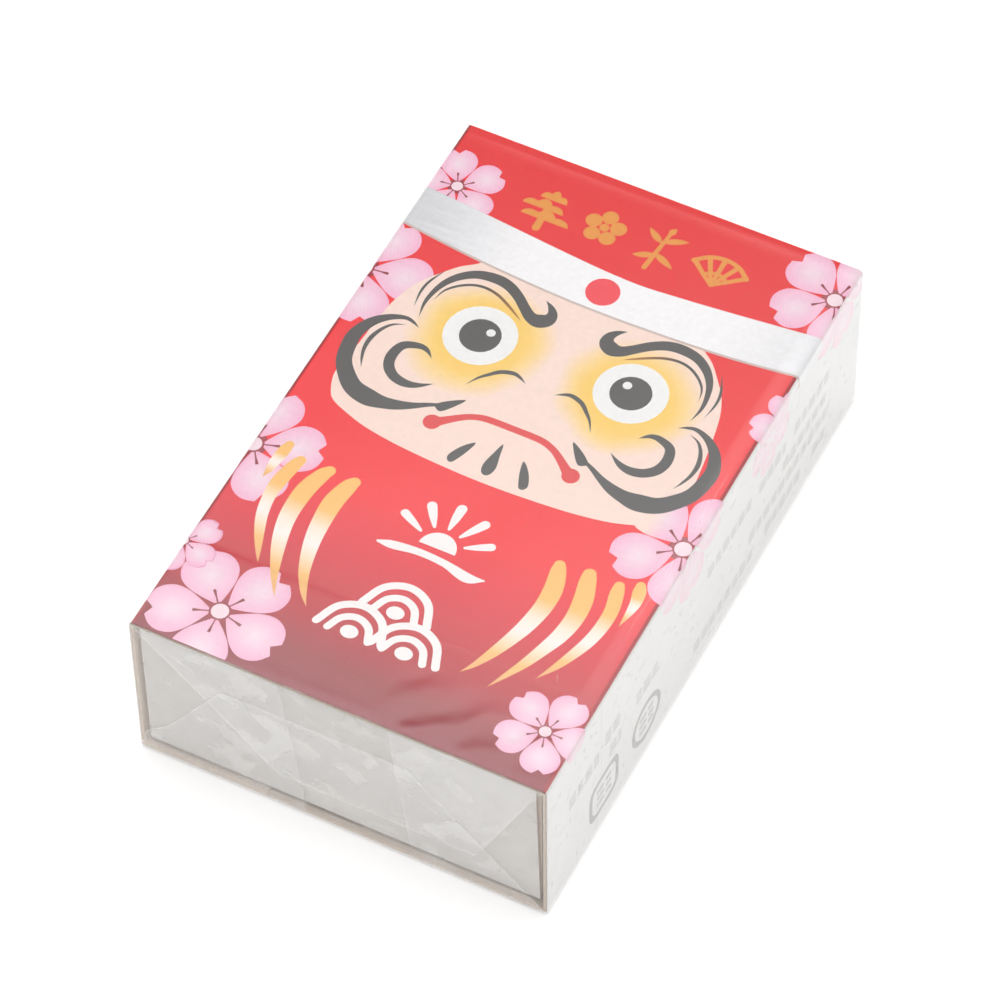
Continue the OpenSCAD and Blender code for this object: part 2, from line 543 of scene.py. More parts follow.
# ---------- film ----------
def film_heights(tree):
    """How the film's surface rolls: broad waves all over, a slope down to the near end with slanting
    folds on its right, and one down to the right edge, each as (height, distance in millimetres)."""
    broad = noise(tree, 16, 1.0, stretch=(1, 0.5, 1))
    x, y = along_box(tree, "X"), along_box(tree)
    turned = add(tree, "VectorRotate", {"rotation_type": "Z_AXIS"}, Vector=here(tree),
        Angle=math.radians(-40))
    split = add(tree, "SeparateXYZ", Vector=turned.outputs[0])
    across = calc(tree, "DIVIDE", i0=split.outputs["Y"], i1=MM)
    wander = between(tree, noise(tree, 5, 1.0), 0.3, 0.7, 32.75, 34.55)
    phase = calc(tree, "ADD", i0=across, i1=wander)
    turns = calc(tree, "MULTIPLY", i0=phase, i1=2 * math.pi / 4.2)
    wave = calc(tree, "SINE", i0=turns)
    near = between(tree, y, -28.0, -31.5, smooth=True)
    right = between(tree, x, 2.5, 7.0, smooth=True)
    shown = calc(tree, "MULTIPLY", i0=near, i1=right)
    folds = calc(tree, "MULTIPLY", i0=wave, i1=shown)
    edge = between(tree, x, 20.4, 22.4, 1.0, 0.0, smooth=True)
    down = between(tree, y, -27.0, -36.7)
    slope = calc(tree, "MULTIPLY", i0=down, i1=down)
    return [(broad, 0.12), (slope, -0.14), (folds, 0.024), (edge, 0.12)]


def clear_film(haze, roughness=0.04, patches=0.0, tint="FFFFFF", cloud_tint="F9F9F9"):
    """A maker for clear film. Each layer is a thin solid sheet: the face that looks towards the viewer
    carries the reflection of the whole layer and its haze, and the other face lets everything through.
    Patches are where the film clings to the board, with a faint dark rim."""
    def make(name):
        material = bpy.data.materials.new(name)
        material.use_nodes = True
        tree = material.node_tree
        tree.nodes.clear()
        shine = add(tree, "BsdfGlossy", Color=(1, 1, 1, 1), Roughness=roughness)
        normal = bumped(tree, shine, film_heights(tree))
        backfacing = add(tree, "NewGeometry").outputs["Backfacing"]
        front = calc(tree, "SUBTRACT", i0=1.0, i1=backfacing)
        through = add(tree, "BsdfTransparent", Color=rgb(tint))
        mirror = add(tree, "Fresnel", IOR=1.7, Normal=normal).outputs[0]
        share = calc(tree, "MULTIPLY", i0=mirror, i1=front)
        clear = add(tree, "MixShader", i0=share, i1=through.outputs[0], i2=shine.outputs[0])
        cloud = between(tree, noise(tree, 3.0, 3.0), 0.35, 0.7, haze * 0.85, haze * 1.2)
        colour = rgb(cloud_tint)
        if patches:
            from_middle = calc(tree, "ABSOLUTE", i0=along_box(tree, "X"))
            inner = between(tree, from_middle, 12.0, 21.0, 0.055, -0.05, smooth=True)
            blotches = noise(tree, 3.6, 3.5, stretch=(0.8, 1, 1.1), roughness=0.55)
            cling = calc(tree, "ADD", i0=inner, i1=blotches)
            stuck = between(tree, cling, 0.575, 0.585, 0.0, patches)
            cloud = calc(tree, "ADD", i0=cloud, i1=stuck)
            rim = between(tree, cling, 0.585, 0.595)
            colour = mixed(tree, rim, rgb("C4C0BC"), rgb("F4F2EF"))
        cover = calc(tree, "MULTIPLY", i0=cloud, i1=front)
        white = add(tree, "BsdfDiffuse")
        if isinstance(colour, tuple):
            white.inputs["Color"].default_value = colour
        else:
            tree.links.new(colour, white.inputs["Color"])
        whole = add(tree, "MixShader", i0=cover, i1=clear.outputs[0], i2=white.outputs[0])
        add(tree, "OutputMaterial", Surface=whole.outputs[0])
        return material
    return make


# ---------- sweets ----------
def waxed_wrap(layers):
    """A maker for waxed paper: the caramel's brown shows where the paper touches it, and pale creases
    run over it. More layers let less of the brown through."""
    def make(name):
        material, tree, shader = principled(name, Roughness=0.3, Coat_Weight=0.3, Coat_Roughness=0.2)
        touching = between(tree, noise(tree, 4.5, 2.0, stretch=(0.7, 1, 1), roughness=0.4), 0.3, 0.6,
            smooth=True)
        through = calc(tree, "MULTIPLY", i0=touching, i1=0.8 / layers ** 2)
        paper = mixed(tree, between(tree, noise(tree, 0.5, 3.0), 0.3, 0.7), rgb("F3EBDD"), rgb("F8F3EA"))
        colour = mixed(tree, through, paper, rgb("E6CDA6"))
        wave = noise(tree, 2.2, 3.0, stretch=(1, 0.7, 0.7))
        away = calc(tree, "SUBTRACT", i0=wave, i1=0.5)
        ridge = calc(tree, "ABSOLUTE", i0=away)
        crease = between(tree, ridge, 0.0, 0.014, 0.75, 0.0)
        tree.links.new(mixed(tree, crease, colour, rgb("FFFBF4")), shader.inputs["Base Color"])
        bumped(tree, shader, [(ridge, 0.7), (noise(tree, 0.35, 2.0), 0.008)])
        return material
    return make


def caramel_sweet(name):
    """Soft caramel: warm brown, faintly marbled, with a waxy sheen."""
    material, tree, shader = principled(
        name, Roughness=0.38, Subsurface_Weight=0.25, Subsurface_Scale=0.002, Coat_Weight=0.15,
    )
    shader.inputs["Subsurface Radius"].default_value = (1.0, 0.45, 0.2)
    marbled = between(tree, noise(tree, 4, 5.0), 0.3, 0.7)
    colour = mixed(tree, marbled, rgb("9C5A22"), rgb("B97333"))
    tree.links.new(colour, shader.inputs["Base Color"])
    bumped(tree, shader, [(noise(tree, 2.5, 2.0), 0.08), (noise(tree, 0.3, 3.0), 0.01)])
    return material


MAKERS = {
    "red_ground": red_ground,
    "red_edge": ink("7E1F28"),
    # painted shade: a darker red inside the top's two folds, where the bend mirrors less light
    "red_fold": ink("A81520"),
    "white_panel": ink("E8E6E3", 0.008),
    "face": face_skin,
    "band": headband_cloth,
    "band_shadow": ink("CDB9B2"),
    "dot": ink("F3404C"),
    "eye_white": ink("F3F2F1"),
    "ink": ink("514E4C"),
    "ink_fade": fading_ink,
    "mouth": ink("E4403F"),
    "petal": petal(PETAL_STOPS),
    "petal_over_face": petal_over_face,
    # painted light: paler copies of the petal inks for the panels past the top's folds
    "petal_pale": petal(LIT_PALE_STOPS),
    "petal_rim": ink("E8A6C4"),
    "petal_line": ink("A22A36"),
    # painted light: the petal lines and stamens washed almost white past the top's folds
    "petal_gap": ink("EFEAEA"),
    "stamen": ink("92242F"),
    "flower_disc": ink("F6DCE4"),
    "gold_fade": fading_gold,
    "gold": ink("EA9838"),
    "white_ink": ink("F8F3F1"),
    "grey_ink": ink("B4B3B1"),
    "mark_ink": ink("959493"),
    "board": bare_board("D3CFCB", "DAD6D2"),
    "board_inside": bare_board("D0C3B7", "DACEC3"),
    "board_edge": cut_board,
    "film": clear_film(0.008),
    "film_side": clear_film(0.01, tint="FDFDFD"),
    "film_end": clear_film(0.02, 0.08, patches=0.12, tint="FEFEFE"),
    "film_lap": clear_film(0.12, 0.1),
    # partly the haze of folded film, partly painted light: a pale warm veil that lifts the shade of the gaps
    # behind it
    "film_fold": clear_film(0.28, 0.15, cloud_tint="EBDFD5"),
    "film_crease": clear_film(0.22, 0.2),
    "film_glint": clear_film(0.1, 0.2),
    "film_cut": clear_film(0.1, 0.5),
    "film_edge": clear_film(0.03, 0.1, tint="E9E6E4"),
    "wrapper": waxed_wrap(1),
    "wrapper_lap": waxed_wrap(2),
    "caramel": caramel_sweet,
}
made_materials = {}


def material_named(kind):
    """The material of that name, made once."""
    if kind not in made_materials:
        made_materials[kind] = MAKERS[kind](kind)
    return made_materials[kind]


# ---------- outline helpers, in millimetres ----------
def curve_through(points, closed=False, spacing=0.3):
    """Points along a smooth curve through the given ones, each a tuple that starts with x and y."""
    count = len(points)
    made = []
    for i in range(count if closed else count - 1):
        if closed:
            a, b, c, d = (points[(i + k) % count] for k in (-1, 0, 1, 2))
        else:
            b, c = points[i], points[i + 1]
            a = points[i - 1] if i else [2 * p - q for p, q in zip(b, c)]
            d = points[i + 2] if i + 2 < count else [2 * q - p for p, q in zip(b, c)]
        steps = max(2, math.ceil(math.dist(b[:2], c[:2]) / spacing))
        for k in range(steps):
            t = k / steps
            made.append(tuple(
                0.5 * (
                    2 * q + (r - p) * t + (2 * p - 5 * q + 4 * r - s) * t * t
                    + (3 * q - p - 3 * r + s) * t ** 3
                )
                for p, q, r, s in zip(a, b, c, d)
            ))
    if not closed:
        made.append(tuple(points[-1]))
    return made


def stroke(points, spacing=0.3):
    """The outline of a brush stroke through (x, y, width) points, with round ends where the width isn't 0."""
    line = curve_through(points, spacing=spacing)
    left, right = [], []
    for i, (x, y, width) in enumerate(line):
        before, after = line[max(i - 1, 0)], line[min(i + 1, len(line) - 1)]
        angle = math.atan2(after[1] - before[1], after[0] - before[0]) + math.pi / 2
        half = max(width, 0.0) / 2
        left.append((x + half * math.cos(angle), y + half * math.sin(angle)))
        right.append((x - half * math.cos(angle), y - half * math.sin(angle)))
    outline = left + end_cap(line[-1], left[-1]) + right[::-1] + end_cap(line[0], right[0])
    return [p for i, p in enumerate(outline) if math.dist(p, outline[i - 1]) > 0.01]


def end_cap(centre, start):
    """The half circle that rounds a stroke's end, from the stroke's left edge to its right."""
    radius = math.dist(centre[:2], start)
    if radius < 0.1:
        return []
    angle = math.atan2(start[1] - centre[1], start[0] - centre[0])
    steps = 6
    return [
        (centre[0] + radius * math.cos(angle - math.pi * k / steps),
         centre[1] + radius * math.sin(angle - math.pi * k / steps))
        for k in range(1, steps)
    ]


def disc(x, y, radius, height=None, steps=None):
    """An ellipse, or a circle where its height isn't given."""
    other = radius if height is None else height
    steps = steps or max(12, round(14 * math.sqrt(radius)))
    return [
        (x + radius * math.cos(2 * math.pi * k / steps), y + other * math.sin(2 * math.pi * k / steps))
        for k in range(steps)
    ]


def mirrored(outline):
    """The outline on the other side of the middle line."""
    return [(-p[0], *p[1:]) for p in outline]


def place(outline, x, y, angle=0, size=1.0):
    """The outline turned by an angle in degrees, scaled and moved."""
    c, s = size * math.cos(math.radians(angle)), size * math.sin(math.radians(angle))
    return [(x + c * p[0] - s * p[1], y + s * p[0] + c * p[1]) for p in outline]


# ---------- layers ----------
# A layer is (material, loops, local): local maps a point to the two numbers its shading needs.
def local_frame(x, y, angle, size_along, size_across):
    """A map from a point to its place along and across a shape that lies at an angle in degrees."""
    c, s = math.cos(math.radians(angle)), math.sin(math.radians(angle))
    def to_local(p):
        dx, dy = p[0] - x, p[1] - y
        return ((c * dx + s * dy) / size_along, (c * dy - s * dx) / size_across)
    return to_local


def flower(x, y, radius, first_angle, over_face=None, over_flower=False):
    """A cherry blossom: five notched petals round a disc, with a stamen along each."""
    half = curve_through(
        [(0.15, 0.05), (0.29, 0.19), (0.46, 0.325), (0.64, 0.395), (0.81, 0.365), (0.93, 0.27),
            (1.0, 0.12)],
        spacing=0.06,
    )
    outline = [(a, -b) for a, b in half] + [(0.9, 0.0)] + half[::-1]
    layers = [("petal_line", [disc(x, y, 0.21 * radius)], None)]
    turns = [first_angle + 72 * k for k in range(5)]
    if over_flower:
        layers += [("petal_rim", [place(outline, x, y, angle, 1.05 * radius)], None) for angle in turns]
    for k, angle in enumerate(turns):
        kind = "petal_over_face" if k == over_face else "petal"
        middle = place([(0.62, 0)], x, y, angle, radius)[0]
        to_local = local_frame(*middle, angle, 0.45 * radius, 0.40 * radius)
        layers.append((kind, [place(outline, x, y, angle, radius)], to_local))
    stamen = [(0.15, 0, 0.02), (0.26, 0.0, 0.024), (0.33, 0, 0.042), (0.37, 0, 0.046)]
    layers += [("stamen", [place(stroke(stamen, 0.05), x, y, angle, radius)], None) for angle in turns]
    layers.append(("flower_disc", [disc(x, y, 0.125 * radius)], None))
    return layers


# ---------- the picture on the top panel ----------
FLOWERS_BEHIND = [(-19.9, 28.2, 5.05, 42), (21.9, 31.6, 6.75, 4), (-23.5, 14.1, 7.4, 6)]


def headband():
    """The pale band across the forehead, with its red dot."""
    upper = curve_through([(-24.5, 27.0), (-22.9, 26.8), (-15.5, 26.1), (0, 24.6), (8, 24.85), (22.9, 26.4),
        (24.5, 26.6)], spacing=1.5)
    lower = curve_through([(-24.5, 21.7), (-22.9, 21.5), (-12.3, 20.2), (0, 19.5), (13.7, 19.9),
        (22.9, 20.9), (24.5, 21.1)], spacing=1.5)
    shade = [(p[0], p[1] - 0.28) for p in lower]
    return [
        ("band_shadow", [upper + shade[::-1]], None),
        ("band", [upper + lower[::-1]], None),
        ("dot", [disc(0.1, 22.0, 1.83)], None),
    ]


def face():
    """The pale face inside its outline."""
    right = [
        (12.8, 19.6), (14.2, 18.5), (15.6, 16.8), (16.9, 15.0), (17.8, 12.9), (18.3, 10.8), (18.8, 8.0),
        (19.2, 5.0), (19.6, 1.5), (19.5, -0.2), (18.8, -2.0), (18.0, -2.9), (16.3, -3.65), (13.2, -4.6),
        (8, -5.3),
    ]
    left = [(x - 0.45 * min(1, max(0, y - 6) / 4), y) for x, y in mirrored(right)]
    outline = [(11.9, 20.6)] + right + [(0, -5.65)] + left[::-1] + [(-12.2, 20.9)]
    return [("face", [curve_through(outline, spacing=0.6)], None)]


def eye(side):
    """A round eye, on the right (1) or the left (-1)."""
    x, y = 8.55 * side, 11.25
    return [
        ("eye_white", [disc(x, y, 3.9)], None),
        ("ink", [disc(x, y, 2.2)], None),
        ("eye_white", [disc(x + (0.83 if side < 0 else -0.77), y + 0.78, 0.5)], None),
    ]


def cheek(side):
    """Every brush mark on one half of the face, drawn for the left side."""
    brow = [
        (-15.3, 10.6, 0), (-15.65, 12.5, 0.35), (-15.5, 14.3, 0.55), (-14.95, 16, 0.75),
        (-13.9, 17.4, 0.95),
        (-12.4, 18.4, 1.1), (-10.5, 18.72, 1.25), (-8.9, 18.45, 1.22), (-7.4, 17.6, 1.15),
        (-6.1, 16.5, 1.15),
        (-5.1, 15.75, 1.35), (-4.1, 15.6, 1.75), (-3.3, 16.15, 1.6), (-3.2, 17, 1.1), (-3.75, 17.8, 0.6),
        (-4.6, 18.4, 0),
    ]
    under_brow = [
        (-15, 13.3, 0), (-14.6, 14.9, 0.22), (-13.6, 16.1, 0.3), (-12.3, 16.9, 0.32), (-11, 17.15, 0.34),
        (-9.5, 16.9, 0.34), (-8, 16.2, 0.32), (-6.5, 15.3, 0.2), (-5.7, 14.8, 0),
    ]
    temple = [(-16.4, 11.6, 0), (-16.7, 13.7, 0.26), (-16.5, 15.4, 0.28), (-15.6, 17.6, 0)]
    nostril = [
        (-1.5, 7.6, 0), (-2.5, 8.15, 0.35), (-3.3, 8.3, 0.5), (-4.5, 7.9, 0.5), (-5.5, 7.0, 0.4),
        (-6.3, 6.1, 0.25), (-7.0, 4.8, 0),
    ]
    small_curl = [
        (-11.6, 6.35, 0), (-12.5, 7.1, 0.5), (-13.5, 7.25, 0.75), (-15.0, 6.6, 1.0), (-15.45, 5.05, 1.15),
        (-15.1, 3.6, 1.15), (-14.1, 2.65, 1.1), (-13, 2.3, 1.05), (-12, 2.35, 0.85), (-11, 2.75, 0.5),
        (-9.9, 3.5, 0),
    ]
    big_curl = [
        (-14.6, 9.35, 0), (-15.5, 9.8, 0.35), (-16.5, 9.95, 0.5), (-18, 9.3, 0.8), (-19.3, 8, 1.15),
        (-20.05, 6.2, 1.45), (-20.1, 4.7, 1.6), (-19.6, 2.4, 1.65), (-18.5, 0.8, 1.8), (-17, -0.5, 2.0),
        (-15.1, -1.0, 2.15), (-13.5, -0.95, 1.6), (-12, -0.6, 1.25), (-10.5, 0.05, 0.8), (-9.3, 0.75, 0.55),
        (-8.4, 1.2, 0.4),
    ]
    brush_tip = [(-8.5, 1.3), (-7.5, 2.2), (-6.0, 3.05), (-6.6, 1.9), (-7.4, 0.85), (-7.85, 0.6),
        (-8.4, 0.9)]
    crescent = [
        (-16.0, 9.15, 0), (-17.2, 8.6, 0.25), (-18, 7.5, 0.4), (-18.45, 6, 0.5), (-18.4, 4.5, 0.4),
        (-18, 3.2, 0.25), (-17.5, 2.1, 0),
    ]
    chin = [(-2.6, -1.4), (-3.35, -2.0), (-4.05, -3.05), (-4.42, -4.1), (-4.1, -4.68), (-3.65, -4.6),
        (-3.3, -3.9), (-2.85, -2.7)]

    def turned(points):
        return points if side < 0 else [(0.15 - p[0], *p[1:]) for p in points]

    marks = [("ink", [stroke(turned(p))], None)
        for p in (brow, temple, nostril, small_curl, big_curl, crescent)]
    start, end = turned([(-13.5, 16.0)])[0], turned([(-5.7, 14.8)])[0]

    def along_brow(p):
        return (p[0] - start[0]) / (end[0] - start[0]), 0.0

    marks.append(("ink_fade", [stroke(turned(under_brow))], along_brow))
    marks.append(("ink", [curve_through(turned(brush_tip), closed=True)], None))
    marks.append(("ink", [curve_through(turned(chin), closed=True)], None))
    return marks


def mouth():
    """The red mouth, round at both corners, and the drop under it."""
    half = [
        (-7.8, -0.95, 1.7), (-7.1, -0.5, 1.1), (-6.25, 0.2, 0.9), (-5.4, 0.85, 0.8), (-4.5, 1.38, 0.75),
        (-3, 1.8, 0.8),
    ]
    line = half + [(0, 1.85, 0.8)] + mirrored(half)[::-1]
    middle_drop = [(-0.05, -0.35), (-0.45, -1.9), (-0.72, -3.4), (-0.5, -4.4), (0.0, -4.68), (0.45, -4.4),
        (0.66, -3.4), (0.33, -1.9)]
    return [
        ("mouth", [stroke(line)], None),
        ("mouth", [disc(-7.8, -0.95, 0.95)], None),
        ("mouth", [disc(7.8, -0.95, 0.95)], None),
        ("ink", [curve_through(middle_drop, closed=True)], None),
    ]


def robe_stroke(points):
    """A gold stroke on the belly that fades to white in its middle, between its top and bottom points."""
    top, bottom = points[0], points[-1]

    def down_stroke(p):
        return (top[1] - p[1]) / (top[1] - bottom[1]), 0.0

    return ("gold_fade", [stroke(points)], down_stroke)


LEFT_ROBE = [
    [(-19.25, -9.9, 0.95), (-19.4, -10.8, 1.25), (-19.55, -12.3, 1.15), (-19.6, -13.5, 0.8),
        (-19.75, -14.8, 0)],
    [(-17.3, -11.2, 1.15), (-17.6, -12.1, 1.45), (-18.0, -14.5, 1.6), (-18.0, -16.5, 1.35),
        (-17.6, -18.7, 1.25), (-16.8, -20.8, 1.05), (-15.8, -22.9, 0.6), (-15.05, -24.4, 0)],
    [(-14.05, -11.1, 1.25), (-14.5, -11.9, 1.65), (-15.1, -14.2, 2.0), (-15.2, -16.8, 1.9),
        (-14.95, -19.0, 1.75), (-14.3, -21.4, 1.5), (-13.3, -24.0, 1.0), (-12.4, -25.9, 0.5),
        (-11.55, -27.4, 0)],
    [(-11.15, -11.3, 1.3), (-11.45, -12.0, 1.75), (-11.9, -14.3, 2.1), (-11.85, -16.6, 2.0),
        (-11.6, -18.9, 1.8), (-11.1, -21.2, 1.5), (-10.3, -23.6, 1.1), (-9.2, -25.7, 0.6),
        (-8.2, -27.05, 0)],
]
RIGHT_ROBE = [
    [(11.8, -11.4, 1.2), (12.0, -12.1, 1.6), (12.55, -14.3, 1.95), (12.65, -16.6, 1.9), (12.3, -19.0, 1.75),
        (11.7, -21.2, 1.5), (10.8, -23.7, 1.15), (9.8, -25.9, 0.6), (8.85, -27.4, 0)],
    [(14.95, -11.1, 1.4), (15.2, -12.1, 1.75), (15.8, -14.3, 2.0), (16.0, -16.6, 1.9), (15.7, -19.0, 1.7),
        (15.0, -21.2, 1.4), (14.1, -23.6, 1.05), (13.1, -25.7, 0.6), (12.05, -27.8, 0)],
    [(18.2, -11.1, 1.1), (18.4, -12.1, 1.45), (18.85, -14.2, 1.45), (18.85, -16.4, 1.4), (18.5, -18.5, 1.3),
        (17.85, -20.5, 1.1), (17.0, -22.6, 0.75), (15.85, -24.8, 0)],
    [(20.1, -10.15, 1.0), (20.3, -10.9, 1.35), (20.55, -12.3, 1.15), (20.5, -13.8, 0.7), (20.3, -15.6, 0)],
]


# ---------- generic motifs in place of writing ----------
def plum(x, y, size):
    """A plum blossom."""
    layers = []
    for k in range(5):
        petal_at = place([(0.54 * size, 0)], x, y, 90 + 72 * k)[0]
        layers.append(("gold", [disc(*petal_at, 0.33 * size)], None))
    layers.append(("gold", [disc(x, y, 0.2 * size)], None))
    return layers


def fan(x, y, size):
    """An open fan."""
    layers = []
    for k in range(5):
        angle = math.radians(40 + 25 * k)
        tip = (x + 1.7 * size * math.cos(angle), y - 0.85 * size + 1.7 * size * math.sin(angle))
        layers.append(("gold", [stroke([(x, y - 0.85 * size, 0.16 * size), (*tip, 0.26 * size)])], None))
    arcs = [(0.75, 0.2), (1.7, 0.24)]
    for radius, width in arcs:
        arc = [
            (x + radius * size * math.cos(math.radians(38 + 26 * k)),
             y - 0.85 * size + radius * size * math.sin(math.radians(38 + 26 * k)), width * size)
            for k in range(5)
        ]
        layers.append(("gold", [stroke(arc)], None))
    return layers


def pine(x, y, size):
    """Three tiers of rounded foliage over a trunk."""
    layers = [("gold", [stroke([(x, y, 0.2 * size), (x + 0.04 * size, y - 1.05 * size, 0.3 * size)])],
        None)]
    for dx, dy, width in ((0.04, 0.36, 0.52), (-0.16, -0.14, 0.8), (0.14, -0.62, 0.94)):
        tier = []
        for k in (1, 0, -1):
            cx, spread = x + (dx + 0.58 * k * width) * size, 0.42 * width * size
            rise = (0.48 if k == 0 else 0.3) * size
            for angle in range(0, 181, 20):
                c, s = math.cos(math.radians(angle)), math.sin(math.radians(angle))
                tier.append((cx + spread * c, y + dy * size + rise * s))
        layers.append(("gold", [tier], None))
    return layers


def bamboo(x, y, size):
    """A bamboo stalk with its leaves."""
    layers = [("gold", [stroke([(x - 0.2 * size, y - 1.0 * size, 0.2 * size),
        (x - 0.1 * size, y, 0.17 * size), (x, y + 0.95 * size, 0.13 * size)])], None)]
    for cx, cy, angle, length in ((-0.13, 0.3, 145, 0.85), (-0.08, 0.35, 25, 0.95), (-0.15, -0.3, 205, 0.8),
        (-0.15, -0.25, -25, 1.0), (-0.03, 0.75, 70, 0.4)):
        leaf = [(0, 0, 0.06), (0.3 * length, 0.02, 0.26), (0.65 * length, 0.02, 0.22), (length, 0, 0)]
        layers.append(("gold", [place(stroke(leaf, 0.08), x + cx * size, y + cy * size, angle, size)],
            None))
    return layers


def sunrise():
    """A half sun with rays, over a sweep of horizon."""
    x, y = 0.0, -15.0
    dome = [(x + 2.0 * math.cos(math.radians(a)), y + 2.0 * math.sin(math.radians(a)))
        for a in range(0, 181, 12)]
    layers = [("white_ink", [dome], None)]
    for angle, near, far, width in ((90, 2.7, 5.5, 1.1), (58, 2.75, 5.6, 1.05), (122, 2.75, 5.4, 1.05),
        (28, 2.8, 5.4, 0.95), (152, 2.8, 5.5, 0.95)):
        ray = [
            (x + r * math.cos(math.radians(angle)), y + r * math.sin(math.radians(angle)), w)
            for r, w in ((near, 0.35), ((near + far) / 2, 0.8 * width), (far, width))
        ]
        layers.append(("white_ink", [stroke(ray)], None))
    sweep = [(-5.7, -16.7, 0.3), (-4.2, -16.5, 1.0), (-1.5, -16.15, 0.85), (1.5, -16.3, 0.85),
        (4.3, -16.9, 1.2), (6.0, -16.5, 0.2)]
    layers.append(("white_ink", [stroke(sweep)], None))
    return layers


def waves():
    """Three scallops of a wave pattern, each of nested arcs."""
    layers = []
    for cx, base in ((-3.0, -28.6), (3.0, -28.6), (0.0, -24.6)):
        for radius, width in ((3.6, 0.85), (2.25, 0.8)):
            arc = [
                (cx + radius * math.cos(math.radians(a)), base + radius * 1.15 * math.sin(math.radians(a)),
                    width)
                for a in range(8, 173, 41)
            ]
            layers.append(("white_ink", [stroke(arc)], None))
        layers.append(("white_ink", [disc(cx, base + 0.75, 0.95, 0.8)], None))
    return layers


def top_picture():
    """Every printed layer of the top, from the lowest to the highest."""
    layers = []
    for f in FLOWERS_BEHIND:
        layers += flower(*f)
    layers += face()
    layers += headband()
    layers += flower(21.85, -4.2, 7.3, 0, over_face=2)
    layers += flower(25.4, 14.5, 4.7, -12)
    for side in (-1, 1):
        layers += cheek(side)
        layers += eye(side)
    layers += mouth()
    layers += flower(-22.6, -11.4, 7.35, 18)
    layers += flower(-15.5, -31.3, 7.4, -14)
    layers += flower(-22.9, -25.2, 3.75, 50, over_flower=True)
    layers += flower(19.5, -30.0, 5.0, 0)
    layers += [robe_stroke(p) for p in LEFT_ROBE + RIGHT_ROBE]
    layers += pine(-10.1, 29.8, 2.9) + plum(-3.6, 29.9, 2.75) + bamboo(3.0, 29.8, 2.9) + fan(9.6, 29.6,
        2.25)
    layers += sunrise() + waves()
    return layers


# ---------- what is printed on the other panels ----------
def small_print(to_flat, y_from, y_to, z, height, seed):
    """Blocks of three strokes, in place of a line of small print."""
    widths = (1.5, 1.2, 1.6, 1.3)
    half = 0.11 * height
    strokes, y, k = [], y_from, seed
    while y < y_to - 0.7:
        right = min(y + widths[k % len(widths)], y_to)
        for row in (-1, 0, 1):
            up = z + 0.37 * height * row
            corners = ((y, up - half), (right, up - half), (right, up + half), (y, up + half))
            strokes.append(("grey_ink", [[to_flat(*corner) for corner in corners]], None))
        y += widths[k % len(widths)] + 0.4
        k += 1
    return strokes


def frame_mark(to_flat, y, z, across, up, square):
    """A plain ring, oval or with round corners, with three fine rules inside it."""
    power = 0.45 if square else 1.0
    loops = []
    for grow, way in ((0.0, 1), (-0.7, -1)):
        ring = []
        for k in range(40):
            angle = way * 2 * math.pi * k / 40
            c, s = math.cos(angle), math.sin(angle)
            ring.append(to_flat(
                y + (across / 2 + grow) * math.copysign(abs(c) ** power, c),
                z + (up / 2 + grow) * math.copysign(abs(s) ** power, s),
            ))
        loops.append(ring)
    inner = across * 0.24
    return [("mark_ink", loops, None), *small_print(to_flat, y - inner, y + inner, z, 2.9, 2)]


def right_panel(tube):
    """The small print and the two marks on the right panel."""
    def to_flat(y, z):
        return tube.on_side(1, y, z)

    areas = small_print(to_flat, -31.6, -25.0, 12.4, 1.8, 0)
    areas += small_print(to_flat, -23.6, -20.0, 13.2, 1.8, 3)
    areas += small_print(to_flat, -22.6, -20.0, 10.2, 1.7, 4)
    areas += frame_mark(to_flat, -23.8, 5.3, 6.6, 5.8, True)
    areas += small_print(to_flat, -16.6, -11.2, 11.3, 1.8, 1)
    areas += frame_mark(to_flat, -14.2, 5.2, 6.6, 6.0, False)
    lines = (
        (-0.3, 10.5, 12.6), (11.9, 18.3, 12.4), (20.3, 28.8, 12.6), (17.7, 28.7, 9.4),
        (9.7, 28.8, 6.5), (-3.3, 11.2, 3.3), (13.7, 22.7, 3.4), (25.3, 29.3, 3.3),
    )
    for k, (y_from, y_to, z) in enumerate(lines):
        areas += small_print(to_flat, y_from, y_to, z, 1.5, 2 * k)
    return areas


def left_panel(tube):
    """The small print on the left panel."""
    def to_flat(y, z):
        return tube.on_side(-1, y, z)

    areas = []
    for k, (y_from, y_to, z) in enumerate(((-3.0, 8.0, 9.2), (-3.0, 12.0, 6.4), (-3.0, 5.0, 3.6))):
        areas += small_print(to_flat, y_from, y_to, z, 1.3, 3 * k)
    return areas


def bottom_panel(tube):
    """The small print under the box."""
    far_edge = tube.stations(1)[3]

    def to_flat(y, across):
        return far_edge + across, y

    areas = []
    for k in range(7):
        areas += small_print(to_flat, -27.0, 27.0 - 6.0 * (k % 3), 9.0 + 3.4 * k, 1.2, k)
    return areas


# Paler copies of the flower inks for every panel past the top's folds: painted light, standing for the
# brightly lit side that washes the pinks out.
PAINTED_LIGHT_SIDE_INKS = {
    "petal": "petal_pale", "petal_over_face": "petal_pale", "petal_rim": "petal_pale",
    "petal_line": "petal_gap",
    "stamen": "petal_gap", "flower_disc": "petal_pale",
}


